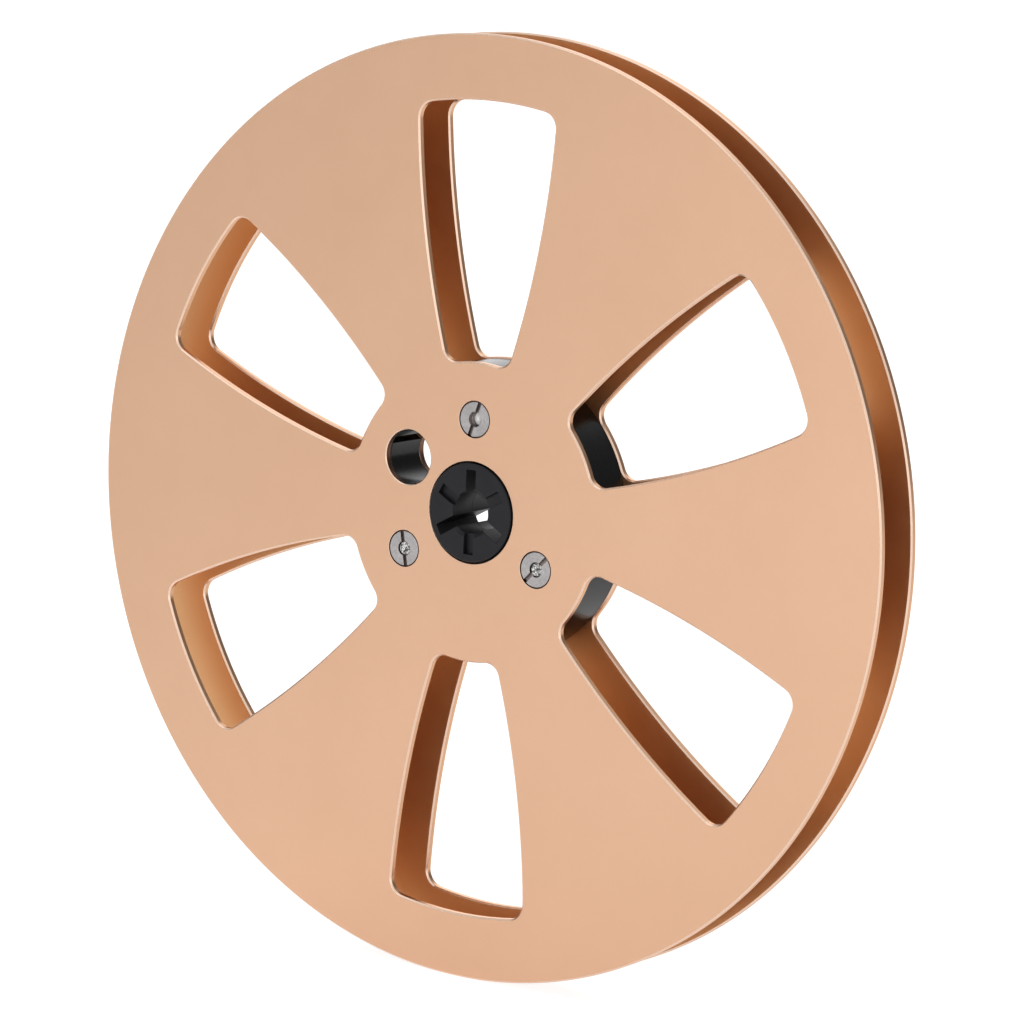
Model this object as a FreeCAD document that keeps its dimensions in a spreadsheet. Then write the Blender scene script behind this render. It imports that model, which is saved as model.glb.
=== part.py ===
"""Seven-inch open reel for quarter-inch tape: two windowed flanges clamped on
a solid hub by three sleeve nuts and three screws, with a plastic spindle bush
in each face of the hub.

The reel stands upright with its spin axis along Y. The front face looks
towards -Y, +X is to the right of somebody facing it and +Z is up. The origin
is on the spin axis, midway between the two flanges. Lengths are millimetres.

Each piece is drawn in its own frame: X to the right, Y up and Z along the
spin axis. Its Placement then stands it up in the reel's frame.
"""

import math
import os

import FreeCAD
import Part
import Sketcher

Vector = FreeCAD.Vector
doc = FreeCAD.newDocument("tape_reel")

# ---------------------------------------------------------------- dimensions
# Alias and value. Text starting with "=" is a formula on earlier aliases.
DIMS = [
    # flanges
    ("flange_radius", 88.9),
    ("flange_thickness", 1.5),
    ("edge_break", 0.3),
    ("fine_break", 0.12),
    ("bush_hole_radius", 9.6),
    # windows, at the straight part of the wall (the edge break adds to this)
    ("window_count", 6),
    ("window_outer_radius", 76.7),
    ("window_inner_radius", 28.29),
    ("window_side_radius", 180.45),
    ("window_side_x", 164.79),
    ("window_side_y", 82.98),
    ("window_outer_corner", 3.17),
    ("window_inner_corner", 2.89),
    # the rear flange's windows sit a little further round than the front's
    ("rear_window_clocking", 0.65),
    # radial gap round the bushes and the nuts' barrels
    ("fit_clearance", 0.1),
    # spindle bushes
    ("bush_radius", 9.3),
    ("bush_length", 6.4),
    ("bush_rim_break", 0.2),
    ("collar_radius", 10.4),
    ("lug_radius", 11.5),
    ("lug_width", 3.0),
    ("spindle_bore_radius", 4.05),
    ("spindle_mouth_break", 0.7),
    ("spindle_mouth_depth", 0.3),
    ("drive_slot_width", 2.16),
    ("drive_slot_end", 8.1),
    ("recess_end", 7.85),
    ("recess_depth", 1.0),
    ("rear_bush_clocking", -1.0),
    # hub
    ("hub_radius", 28.0),
    ("hub_width", 9.0),
    ("hub_bore_radius", "=bush_radius + fit_clearance"),
    ("collar_seat_radius", "=collar_radius + fit_clearance"),
    ("collar_seat_depth", 1.5),
    ("lug_seat_radius", "=lug_radius + fit_clearance"),
    ("lug_seat_width", 4.5),
    # threading hole and the slit that leads the tape's end into it
    ("threading_angle", 150.0),
    ("threading_offset", 17.3),
    ("threading_radius", 5.2),
    ("slit_width", 1.4),
    # fasteners
    ("fastener_count", 3),
    ("fastener_offset", 17.55),
    ("head_radius", 3.3),
    ("head_seat_radius", 3.52),
    ("head_depth", 0.95),
    ("driver_slot_width", 0.8),
    ("driver_slot_depth", 0.6),
    ("barrel_radius", 2.25),
    ("barrel_hole_radius", "=barrel_radius + fit_clearance"),
    ("nut_length", 10.2),
    ("thread_bore_radius", 1.38),
    ("thread_mouth_break", 0.15),
    ("screw_radius", 1.33),
    ("screw_length", 10.4),
    ("long_screw_length", 11.6),
    ("screw_tip_break", 0.15),
    # how far outlines run past the surface they cut or join
    ("hub_overrun", 1.0),
    ("small_overrun", 0.5),
]

# Place of each fastener round the hub, directions of the driver slots in the
# front nut and in the rear screw, all in degrees, and the screw's length. The
# lower two screws are longer and end just under their nuts' faces.
FASTENERS = [
    (90, 71, 20, "screw_length"),
    (210, 100, 64, "long_screw_length"),
    (330, 46, -35, "long_screw_length"),
]

sheet = doc.addObject("Spreadsheet::Sheet", "dims")
for row, (alias, content) in enumerate(DIMS, start=1):
    sheet.set(f"A{row}", alias)
    sheet.set(f"B{row}", str(content))
    sheet.setAlias(f"B{row}", alias)
doc.recompute()


class Dimension(float):
    """A number that carries the sheet expression it comes from. Both follow
    through a sum, a difference, a quotient and a change of sign."""

    def __new__(cls, value, rule):
        dimension = super().__new__(cls, value)
        dimension.rule = rule
        return dimension

    def joined(self, sign, other, value):
        return Dimension(value, f"({self.rule} {sign} {getattr(other, 'rule', other)})")

    def __add__(self, other):
        return self.joined("+", other, super().__add__(other))

    def __sub__(self, other):
        return self.joined("-", other, super().__sub__(other))

    def __truediv__(self, other):
        return self.joined("/", other, super().__truediv__(other))

    def __neg__(self):
        return Dimension(super().__neg__(), f"-{self.rule}")


def dim(alias):
    return Dimension(float(sheet.get(alias)), f"dims.{alias}")


# ------------------------------------------------------------------ sketches
# Sketcher's own numbers: the axes' geometry, and the points of a curve
X_AXIS, Y_AXIS = -1, -2
START, END, CENTRE = 1, 2, 3
ORIGIN = (-1, START)


def origin_feature(body, role):
    return next(o for o in body.Origin.OriginFeatures if o.Role == role)


def new_body(label):
    body = doc.addObject("PartDesign::Body", label)
    body.Label = label
    return body


def new_sketch(body, name, role="XY_Plane", lift=None, turn=None):
    """A sketch on one of the body's own planes, lifted along the plane's
    normal by one dimension and turned by another, in degrees."""
    sketch = body.newObject("Sketcher::SketchObject", name)
    sketch.AttachmentSupport = [(origin_feature(body, role), "")]
    sketch.MapMode = "FlatFace"
    if turn is not None:
        # a first angle other than zero fixes the axis that the expression turns about
        sketch.AttachmentOffset = FreeCAD.Placement(
            Vector(0, 0, 0), FreeCAD.Rotation(Vector(0, 0, 1), 1.0)
        )
        sketch.setExpression("AttachmentOffset.Rotation.Angle", turn.rule)
    if lift is not None:
        sketch.setExpression("AttachmentOffset.Base.z", lift.rule)
    return sketch


def constrain(sketch, kind, *where):
    return sketch.addConstraint(Sketcher.Constraint(kind, *where))


def bind(sketch, name, size, kind, *where):
    """A named constraint driven by a dimension."""
    index = constrain(sketch, kind, *where, float(size))
    sketch.renameConstraint(index, name)
    sketch.setExpression(f"Constraints.{name}", size.rule)


def place_point(sketch, name, where, x, y):
    """Fixes a point. A coordinate is a Dimension, or 0 to lie on the axis."""
    if (x, y) == (0, 0):
        constrain(sketch, "Coincident", *where, *ORIGIN)
        return
    for letter, size, axis in (("X", x, Y_AXIS), ("Y", y, X_AXIS)):
        if isinstance(size, Dimension):
            bind(sketch, f"{name}_{letter}", size, "Distance" + letter, *ORIGIN, *where)
        else:
            constrain(sketch, "PointOnObject", *where, axis)


def circle_sketch(body, name, radius, x=0, y=0, **attachment):
    sketch = new_sketch(body, name, **attachment)
    circle = sketch.addGeometry(Part.Circle(Vector(x, y, 0), Vector(0, 0, 1), radius), False)
    bind(sketch, "circle_radius", radius, "Radius", circle)
    place_point(sketch, "circle", (circle, CENTRE), x, y)
    return sketch


def polygon_sketch(body, name, corners, **attachment):
    """A closed outline through (x, y) corners, as place_point takes them."""
    sketch = new_sketch(body, name, **attachment)
    count = len(corners)
    points = [Vector(x, y, 0) for x, y in corners]
    for i in range(count):
        sketch.addGeometry(Part.LineSegment(points[i], points[(i + 1) % count]), False)
    for i in range(count):
        constrain(sketch, "Coincident", i, END, (i + 1) % count, START)
    for i, (x, y) in enumerate(corners):
        place_point(sketch, f"corner{i}", (i, START), x, y)
    return sketch


def box_sketch(body, name, across, up, **attachment):
    """A rectangle from its (left, right) and (low, high) sides."""
    left, right = across
    low, high = up
    corners = [(left, low), (right, low), (right, high), (left, high)]
    return polygon_sketch(body, name, corners, **attachment)


def centred(width):
    """The two sides of a width centred on an axis."""
    return -(width / 2), width / 2


# ------------------------------------------------------------------ features
def pad(body, name, sketch, length):
    feature = body.newObject("PartDesign::Pad", name)
    feature.Profile = sketch
    feature.setExpression("Length", length.rule)
    sketch.Visibility = False
    doc.recompute()
    return feature


def pocket(body, name, sketch, depth=None, up=True):
    """A cut from the sketch upwards, or downwards, by a depth or through."""
    before = body.Shape.Volume
    feature = body.newObject("PartDesign::Pocket", name)
    feature.Profile = sketch
    if depth is None:
        feature.Type = "ThroughAll"
    else:
        feature.setExpression("Length", depth.rule)
    feature.Reversed = up
    sketch.Visibility = False
    doc.recompute()
    if not feature.Shape.Volume < before - 1e-3:
        raise RuntimeError(f"{name} cuts nothing")
    return feature


def around(body, name, features, count):
    """The same features again, evenly round the body's Z axis."""
    feature = body.newObject("PartDesign::PolarPattern", name)
    feature.Originals = features
    feature.Axis = (origin_feature(body, "Z_Axis"), [""])
    feature.Angle = 360
    feature.setExpression("Occurrences", count.rule)
    body.Tip = feature
    doc.recompute()


def turned(body, label, corners):
    """An (x, z) profile revolved about the body's Z axis."""
    sketch = polygon_sketch(body, label + "_profile", corners, role="XZ_Plane")
    feature = body.newObject("PartDesign::Revolution", label + "_turned")
    feature.Profile = sketch
    feature.ReferenceAxis = (sketch, ["V_Axis"])
    feature.Angle = 360
    sketch.Visibility = False
    doc.recompute()


def chamfer(body, name, base, size, radii, heights):
    """A 45 degree break on base's flat circular edges of the given radii, at
    the given heights."""

    def chosen(edge):
        flat = any(all(abs(v.Z - z) < 1e-6 for v in edge.Vertexes) for z in heights)
        if not flat or not isinstance(edge.Curve, Part.Circle):
            return False
        return any(abs(edge.Curve.Radius - radius) < 1e-3 for radius in radii)

    edges = [f"Edge{i}" for i, e in enumerate(base.Shape.Edges, start=1) if chosen(e)]
    if not edges:
        raise RuntimeError(f"{name} finds no edge")
    feature = body.newObject("PartDesign::Chamfer", name)
    feature.Base = (base, edges)
    feature.setExpression("Size", size.rule)
    doc.recompute()
    if not feature.Shape.Volume < base.Shape.Volume:
        raise RuntimeError(f"{name} cuts nothing")
    return feature


def stand(body, x, y, z, turn=0.0, facing_front=True):
    """Stands a piece up: its Z goes to the reel's front, or to its rear, after
    a turn about its own Z."""
    tip = FreeCAD.Rotation(Vector(1, 0, 0), 90 if facing_front else -90)
    body.Placement = FreeCAD.Placement(
        Vector(x, y, z), tip.multiply(FreeCAD.Rotation(Vector(0, 0, 1), turn))
    )


# ------------------------------------------------------------ window outline
def upper_crossing(radius, centre, other_radius):
    """The upper point where a circle on the origin meets another, whose
    centre lies to the left."""
    distance = math.hypot(*centre)
    unit_x, unit_y = centre[0] / distance, centre[1] / distance
    along = (distance**2 + radius**2 - other_radius**2) / (2 * distance)
    off = math.sqrt(radius**2 - along**2)
    return along * unit_x + off * unit_y, along * unit_y - off * unit_x


def direction(centre, point):
    return math.atan2(point[1] - centre[1], point[0] - centre[0])


def window_sketch(body, turn=None):
    """One window, straight above the centre: two arcs round the reel's axis,
    two long bulging sides and four rounded corners, all tangent."""
    outer, inner = dim("window_outer_radius"), dim("window_inner_radius")
    side = dim("window_side_radius")
    side_x, side_y = dim("window_side_x"), dim("window_side_y")
    top_corner, low_corner = dim("window_outer_corner"), dim("window_inner_corner")

    # centres of the right side and of the corners at its ends
    middle = (0, 0)
    bulge = (-side_x, side_y)
    top = upper_crossing(outer - top_corner, bulge, side - top_corner)
    low = upper_crossing(inner + low_corner, bulge, side - low_corner)
    # directions of the points where the right half's arcs touch
    outer_end, inner_end = direction(middle, top), direction(middle, low)
    side_top, side_low = direction(bulge, top), direction(bulge, low)

    def mirrored(angle):
        return math.pi - angle

    # name: centre, radius, start and end angle, anticlockwise
    arcs = {
        "side_right": (bulge, side, side_low, side_top),
        "top_right": (top, top_corner, side_top, outer_end),
        "outer": (middle, outer, outer_end, mirrored(outer_end)),
        "top_left": ((-top[0], top[1]), top_corner, mirrored(outer_end), mirrored(side_top)),
        "side_left": ((side_x, side_y), side, mirrored(side_top), mirrored(side_low)),
        "low_left": (
            (-low[0], low[1]), low_corner, mirrored(side_low), mirrored(inner_end) + math.pi
        ),
        "inner": (middle, inner, inner_end, mirrored(inner_end)),
        "low_right": (low, low_corner, inner_end + math.pi, side_low),
    }  # fmt: skip
    sketch = new_sketch(body, body.Label + "_window", turn=turn)
    index = {}
    for name, (centre, radius, start, end) in arcs.items():
        while end < start:
            end += 2 * math.pi
        circle = Part.Circle(Vector(*centre, 0), Vector(0, 0, 1), radius)
        index[name] = sketch.addGeometry(Part.ArcOfCircle(circle, start, end), False)
    for one, one_point, other, other_point in (
        ("side_right", END, "top_right", START),
        ("top_right", END, "outer", START),
        ("outer", END, "top_left", START),
        ("top_left", END, "side_left", START),
        ("side_left", END, "low_left", START),
        ("low_left", END, "inner", END),
        ("inner", START, "low_right", START),
        ("low_right", END, "side_right", START),
    ):
        constrain(sketch, "Tangent", index[one], one_point, index[other], other_point)
    for name, (centre, radius, start, end) in arcs.items():
        bind(sketch, name + "_radius", radius, "Radius", index[name])
    # the corners' centres follow from tangency
    for name in ("outer", "inner", "side_right", "side_left"):
        place_point(sketch, name, (index[name], CENTRE), *arcs[name][0])
    return sketch


# -------------------------------------------------------------------- flanges
def threading_hole_sketch(body, name):
    return circle_sketch(
        body, name, dim("threading_radius"),
        x=dim("threading_offset"), turn=dim("threading_angle"),
    )  # fmt: skip


def barrel_hole_sketch(body, name):
    return circle_sketch(body, name, dim("barrel_hole_radius"), y=dim("fastener_offset"))


def make_flange(label, seats_on_top):
    """A flat disc with six windows, the threading hole, the bush hole and a
    stepped seat for each fastener head. The seats are on the outer face."""
    body = new_body(label)
    thickness = dim("flange_thickness")
    faces = (0.0, thickness)
    disc = circle_sketch(body, label + "_disc", dim("flange_radius"))
    pad(body, label + "_plate", disc, thickness)

    clocking = None if seats_on_top else dim("rear_window_clocking")
    window = pocket(body, label + "_window_cut", window_sketch(body, clocking))
    around(body, label + "_windows", [window], dim("window_count"))

    threading = threading_hole_sketch(body, label + "_threading")
    through = pocket(body, label + "_threading_hole", threading)

    # the edges that a hand or the tape meets
    handled = [
        dim("flange_radius"),
        dim("window_outer_radius"),
        dim("window_inner_radius"),
        dim("window_side_radius"),
        dim("window_outer_corner"),
        dim("window_inner_corner"),
    ]
    edges = chamfer(body, label + "_edges", through, dim("edge_break"), handled, faces)
    chamfer(
        body, label + "_threading_edge", edges, dim("fine_break"),
        [dim("threading_radius")], faces,
    )  # fmt: skip

    middle = circle_sketch(body, label + "_middle", dim("bush_hole_radius"))
    bored = pocket(body, label + "_bush_hole", middle)
    outside = thickness if seats_on_top else 0.0
    chamfer(
        body, label + "_bush_edge", bored, dim("fine_break"),
        [dim("bush_hole_radius")], [outside],
    )  # fmt: skip

    # fastener seats: a counterbore for the head, then the barrel's hole
    seat = circle_sketch(
        body, label + "_seat", dim("head_seat_radius"),
        y=dim("fastener_offset"), lift=thickness if seats_on_top else None,
    )  # fmt: skip
    counterbore = pocket(
        body, label + "_counterbore", seat, dim("head_depth"), up=not seats_on_top
    )
    barrel = barrel_hole_sketch(body, label + "_barrel")
    drilled = pocket(body, label + "_barrel_hole", barrel)
    around(body, label + "_seats", [counterbore, drilled], dim("fastener_count"))
    return body


# ------------------------------------------------------------------ hub core
def make_hub():
    """A solid drum from its rear face (Z = 0) to its front face."""
    body = new_body("hub_core")
    count, seat_depth = dim("fastener_count"), dim("collar_seat_depth")
    overrun = dim("hub_overrun")
    disc = circle_sketch(body, "hub_disc", dim("hub_radius"))
    pad(body, "hub_drum", disc, dim("hub_width"))
    bore = circle_sketch(body, "hub_bore_outline", dim("hub_bore_radius"))
    pocket(body, "hub_bore", bore)

    # the collar of a bush drops into a round seat with three notches
    for side, lift, up in (("rear", None, True), ("front", dim("hub_width"), False)):
        ring = circle_sketch(
            body, f"hub_{side}_collar_outline", dim("collar_seat_radius"), lift=lift
        )
        pocket(body, f"hub_{side}_collar_seat", ring, seat_depth, up=up)
        notch = box_sketch(
            body, f"hub_{side}_notch_outline", centred(dim("lug_seat_width")),
            (dim("hub_bore_radius") - overrun, dim("lug_seat_radius")), lift=lift,
        )  # fmt: skip
        cut = pocket(body, f"hub_{side}_notch", notch, seat_depth, up=up)
        around(body, f"hub_{side}_notches", [cut], count)

    barrel = barrel_hole_sketch(body, "hub_barrel_outline")
    drilled = pocket(body, "hub_barrel_hole", barrel)
    around(body, "hub_barrel_holes", [drilled], count)

    # threading hole, and the slit from it to the winding surface
    pocket(body, "hub_threading_hole", threading_hole_sketch(body, "hub_threading_outline"))
    slit = box_sketch(
        body, "hub_slit_outline", (dim("threading_offset"), dim("hub_radius") + overrun),
        centred(dim("slit_width")), turn=dim("threading_angle"),
    )  # fmt: skip
    pocket(body, "hub_tape_slit", slit)
    return body


# ------------------------------------------------------------ spindle bushes
def make_bush(label):
    """Half of the spindle bush, drawn from the reel's middle plane (Z = 0) to
    its outer face. Three drive slots go right through; three shallow recesses
    between them are in the face only."""
    body = new_body(label)
    count = dim("fastener_count")
    bore, rim, length = dim("spindle_bore_radius"), dim("bush_radius"), dim("bush_length")
    rim_break = dim("bush_rim_break")
    # the collar fills its seat, flush with the hub's face
    collar, thickness = dim("collar_radius"), dim("collar_seat_depth")
    collar_top = dim("hub_width") / 2
    collar_low = collar_top - thickness
    turned(body, label, [
        (bore, 0),
        (rim, 0),
        (rim, collar_low),
        (collar, collar_low),
        (collar, collar_top),
        (rim, collar_top),
        (rim, length - rim_break),
        (rim - rim_break, length),
        (bore + dim("spindle_mouth_break"), length),
        (bore, length - dim("spindle_mouth_depth")),
    ])  # fmt: skip

    # key lugs on the collar
    lug = box_sketch(
        body, label + "_lug_outline", centred(dim("lug_width")),
        (rim - dim("small_overrun"), dim("lug_radius")), lift=collar_low,
    )  # fmt: skip
    one = pad(body, label + "_lug", lug, thickness)
    around(body, label + "_lugs", [one], count)

    across = centred(dim("drive_slot_width"))
    slot = box_sketch(body, label + "_slot_outline", across, (0, dim("drive_slot_end")))
    cut = pocket(body, label + "_drive_slot", slot)
    around(body, label + "_drive_slots", [cut], count)

    # recesses, straight below the centre and two more
    recess = box_sketch(
        body, label + "_recess_outline", across, (-dim("recess_end"), 0), lift=length
    )
    cut = pocket(body, label + "_recess", recess, dim("recess_depth"), up=False)
    around(body, label + "_recesses", [cut], count)
    return body


# ----------------------------------------------------------------- fasteners
def head_corners(stem):
    """Profile of a flat head with its face at Z = 0, from the stem outwards."""
    head, depth, fine = dim("head_radius"), dim("head_depth"), dim("fine_break")
    return [(stem, -depth), (head, -depth), (head, -fine), (head - fine, 0)]


def driver_slot(body, label):
    """A screwdriver slot right across a head whose face is at Z = 0."""
    reach = dim("head_radius") + dim("small_overrun")
    outline = box_sketch(
        body, label + "_slot_outline", (-reach, reach), centred(dim("driver_slot_width"))
    )
    pocket(body, label + "_driver_slot", outline, dim("driver_slot_depth"), up=False)


def make_nut(label):
    """A sleeve nut: flat slotted head and a long barrel, threaded through. The
    thread is a plain bore at its pitch radius."""
    body = new_body(label)
    bore, mouth = dim("thread_bore_radius"), dim("thread_mouth_break")
    barrel, length = dim("barrel_radius"), dim("nut_length")
    turned(body, label, [
        (bore, -length),
        (barrel, -length),
        *head_corners(barrel),
        (bore + mouth, 0),
        (bore, -mouth),
    ])  # fmt: skip
    driver_slot(body, label)
    return body


def make_screw(label, length):
    """The nut's mating screw, with a flat slotted head. The thread is a plain
    shank at its pitch radius."""
    body = new_body(label)
    shank, tip = dim("screw_radius"), dim("screw_tip_break")
    turned(body, label, [
        (0, -length),
        (shank - tip, -length),
        (shank, tip - length),
        *head_corners(shank),
        (0, 0),
    ])  # fmt: skip
    driver_slot(body, label)
    return body


# ------------------------------------------------------------------ assembly
half_hub = dim("hub_width") / 2
face = half_hub + dim("flange_thickness")

front_flange = make_flange("front_flange", seats_on_top=True)
stand(front_flange, 0, -half_hub, 0)
rear_flange = make_flange("rear_flange", seats_on_top=False)
stand(rear_flange, 0, face, 0)
hub_core = make_hub()
stand(hub_core, 0, half_hub, 0)
front_bush = make_bush("front_spindle_bush")
stand(front_bush, 0, 0, 0)
# the rear bush is the same moulding turned over; it lies at one end of its
# lugs' play, so its slots are a degree off the front ones
rear_bush = make_bush("rear_spindle_bush")
stand(rear_bush, 0, 0, 0, turn=180 - dim("rear_bush_clocking"), facing_front=False)
pieces = [front_flange, rear_flange, hub_core, front_bush, rear_bush]

for number, (place, nut_slot, screw_slot, length_alias) in enumerate(FASTENERS, start=1):
    x = dim("fastener_offset") * math.cos(math.radians(place))
    z = dim("fastener_offset") * math.sin(math.radians(place))
    nut = make_nut(f"sleeve_nut_{number}")
    stand(nut, x, -face, z, turn=nut_slot)
    screw = make_screw(f"clamp_screw_{number}", dim(length_alias))
    stand(screw, x, face, z, turn=screw_slot, facing_front=False)
    pieces += [nut, screw]
doc.recompute()

# -------------------------------------------------------------------- output
for obj in doc.Objects:
    if "Invalid" in obj.State or "Error" in obj.State:
        raise RuntimeError(f"{obj.Label} is {obj.State}")
    if obj.isDerivedFrom("Sketcher::SketchObject") and obj.solve() != 0:
        raise RuntimeError(f"{obj.Label} doesn't solve")

os.makedirs("parts", exist_ok=True)
for piece in pieces:
    shape = piece.Shape
    if shape.isNull() or not shape.isValid() or len(shape.Solids) != 1:
        raise RuntimeError(f"{piece.Label} isn't one valid solid")
    shape.exportStep(os.path.join("parts", piece.Label + ".step"))
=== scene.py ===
# A reel: two windowed flanges, a slit hub, two spindle bushes, and three nuts and screws.
# It stands with its spin axis along Y through the origin. Its front faces -Y, and +Z is up.
# The shapes are drawn in millimetres and scaled to metres when their meshes are made.
#
# A loop is a closed curve in the X-Z plane: an array of points, and an array of the directions
# that point out of the material there. Directions are degrees from +X towards +Z.
import math

import bpy
import numpy as np
from mathutils import Matrix, Vector
from mathutils.geometry import delaunay_2d_cdt


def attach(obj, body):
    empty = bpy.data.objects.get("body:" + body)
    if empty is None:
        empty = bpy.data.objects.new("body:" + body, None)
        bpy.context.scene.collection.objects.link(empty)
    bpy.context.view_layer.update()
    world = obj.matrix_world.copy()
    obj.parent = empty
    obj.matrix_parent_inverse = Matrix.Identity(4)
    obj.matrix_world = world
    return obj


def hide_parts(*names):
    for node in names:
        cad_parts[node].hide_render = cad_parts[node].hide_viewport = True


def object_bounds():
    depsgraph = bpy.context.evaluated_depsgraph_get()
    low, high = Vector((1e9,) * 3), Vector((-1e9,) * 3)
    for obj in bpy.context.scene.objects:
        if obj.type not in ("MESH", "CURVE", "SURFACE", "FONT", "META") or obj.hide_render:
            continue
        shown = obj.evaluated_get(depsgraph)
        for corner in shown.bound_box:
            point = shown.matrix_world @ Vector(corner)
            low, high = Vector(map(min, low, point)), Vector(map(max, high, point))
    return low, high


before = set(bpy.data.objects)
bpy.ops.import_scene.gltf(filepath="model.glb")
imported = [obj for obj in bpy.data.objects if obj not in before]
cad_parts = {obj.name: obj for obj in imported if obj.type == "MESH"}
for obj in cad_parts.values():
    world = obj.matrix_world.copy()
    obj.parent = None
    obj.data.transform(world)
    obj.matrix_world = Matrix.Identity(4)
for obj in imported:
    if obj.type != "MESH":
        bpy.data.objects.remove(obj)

cad_low, cad_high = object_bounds()


def unit(degrees):
    return np.array([math.cos(math.radians(degrees)), math.sin(math.radians(degrees))])


# ------------------------------------------------------------------ shared dimensions
MM = 0.001
AXIS = (0, 0)

FLANGE_OUT, FLANGE_IN = 6.0, 4.5  # distance of a flange's faces from the middle plane
LUG_IN = 3.0  # inner end of the bush lugs and of the hub's notches for them

HOLE_RADIUS = 2.35  # fastener holes
SEAT_DEPTH = 0.95  # counterbore for a fastener's head
FASTENERS = (90.0, 210.0, 330.0)
FASTENER_CENTRES = [17.55 * unit(direction) for direction in FASTENERS]

# A round hole through everything, joined to the hub's rim by a slit.
KEYHOLE_DIRECTION, KEYHOLE_RADIUS = 150.0, 5.2
KEYHOLE_CENTRE = 17.3 * unit(KEYHOLE_DIRECTION)

# A flange's material slots: faces, chamfers, walls, inner faces, bores. Past the faces, each is a
# lighter or darker copy of the one copper, as painted light and shade.
FACE, CUT, WALL, INNER, BORE = range(5)


# ------------------------------------------------------------------ loops
def spokes(angles):
    """Unit vectors at angles in radians."""
    return np.stack([np.cos(angles), np.sin(angles)], -1)


class Arc:
    """An arc between two directions. side 1: the material is inside it; -1: outside."""

    def __init__(self, centre, radius, start, end, count, side=1):
        self.centre, self.radius = np.array(centre, float), radius
        self.start, self.end = start, end
        self.count, self.side = count, side
        self.turn = math.copysign(1, end - start)

    def points(self, shares, trim_start=0, trim_end=0):
        """Points and normals at shares 0..1 of the run, after trimming its ends."""
        start = self.start + self.turn * math.degrees(trim_start / self.radius)
        end = self.end - self.turn * math.degrees(trim_end / self.radius)
        out = spokes(np.radians(start + (end - start) * shares))
        return self.centre + self.radius * out, self.side * out

    def start_tangent(self):
        angle = math.radians(self.start)
        return np.array([-math.sin(angle), math.cos(angle)]) * self.turn


class Line:
    """A straight run with one outward normal."""

    def __init__(self, start, end, count, out):
        self.start, self.end = np.array(start, float), np.array(end, float)
        self.count, self.out = count, np.array(out, float)

    def points(self, shares, trim_start=0, trim_end=0):
        along = self.start_tangent()
        start, end = self.start + along * trim_start, self.end - along * trim_end
        return start + (end - start) * shares[:, None], np.repeat([self.out], len(shares), 0)

    def start_tangent(self):
        span = self.end - self.start
        return span / np.linalg.norm(span)


def fan(normal_a, normal_b, angle, shares):
    """Directions swung from one normal to another that is angle away."""
    swung = np.sin((1 - shares) * angle) * normal_a + np.sin(shares * angle) * normal_b
    return swung / np.sin(angle)


def joint(run, following, radius, steps):
    """The fillet between two runs: length trimmed off each, points, normals. None if smooth."""
    (corner,), (normal_a,) = run.points(np.array([1.0]))
    _, (normal_b,) = following.points(np.array([0.0]))
    dot = float(np.clip(normal_a @ normal_b, -1, 1))
    if dot > 0.9995:
        return None
    angle = math.acos(dot)
    side = 1 if following.start_tangent() @ normal_a < 0 else -1
    centre = corner - side * radius * (normal_a + normal_b) / (1 + dot)
    normals = fan(normal_a, normal_b, angle, np.linspace(0, 1, steps + 1)[:, None])
    return radius * math.tan(angle / 2), centre + side * radius * normals, normals


def chain(runs, radius, steps=4):
    """Joins runs into a loop with filleted corners.
    Returns its points, its normals and each run's range of points."""
    joints = [joint(a, b, radius, steps) for a, b in zip(runs, runs[1:] + runs[:1])]
    all_points, all_normals, spans, total = [], [], [], 0
    for i, run in enumerate(runs):
        before, after = joints[i - 1], joints[i]
        trims = [fillet[0] if fillet else 0 for fillet in (before, after)]
        points, normals = run.points(np.linspace(0, 1, run.count), *trims)
        if before:
            points[0], normals[0] = before[1][-1], before[2][-1]
        if after:
            points[-1], normals[-1] = after[1][0], after[2][0]
        spans.append((total, total + run.count))
        if after:
            points = np.concatenate([points, after[1][1:-1]])
            normals = np.concatenate([normals, after[2][1:-1]])
        else:  # the next run starts at this run's last point
            points, normals = points[:-1], normals[:-1]
        all_points.append(points)
        all_normals.append(normals)
        total += len(points)
    return np.concatenate(all_points), np.concatenate(all_normals), spans


def circle(radius, count, centre=AXIS, side=1):
    out = spokes(np.arange(count) * (2 * math.pi / count))
    return np.array(centre) + radius * out, side * out


def turned(points, degrees, centre=AXIS):
    """Turns points about the origin, then moves them to a centre."""
    angle = math.radians(degrees)
    cos, sin = math.cos(angle), math.sin(angle)
    return points @ np.array([[cos, sin], [-sin, cos]]) + np.array(centre)


def strip_angle(radius, half):
    """Degrees between a strip's middle and its edge, half away, on a circle about its middle."""
    return math.degrees(math.asin(half / radius))


def strip_reach(radius, half):
    """Distance along that strip at which its edge meets the circle."""
    return math.sqrt(radius * radius - half * half)


# ------------------------------------------------------------------ surfaces
def up(points, y):
    """A loop's points at height y along the spin axis."""
    return np.stack([points[:, 0], np.full(len(points), float(y)), points[:, 1]], -1)


def norm(v):
    return v / np.maximum(np.linalg.norm(v, axis=-1, keepdims=True), 1e-12)


def lift(normals, outward, along):
    """Unit normals with parts outward from the loop and along the spin axis."""
    return norm(up(outward * normals, along))


def cone_normals(top, low, normals, drop):
    """Normals of the slope from a loop down to another, drop further along the spin axis."""
    lifted = up(normals, 0)
    lifted[:, 1] = -((low - top) / drop * normals).sum(1)
    return norm(lifted)


def weld(points, digits):
    """Merges points alike to some decimals. Returns the vertices and each point's vertex."""
    _, first, index = np.unique(
        np.round(points, digits), axis=0, return_index=True, return_inverse=True
    )
    return points[first], index.ravel()


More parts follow.
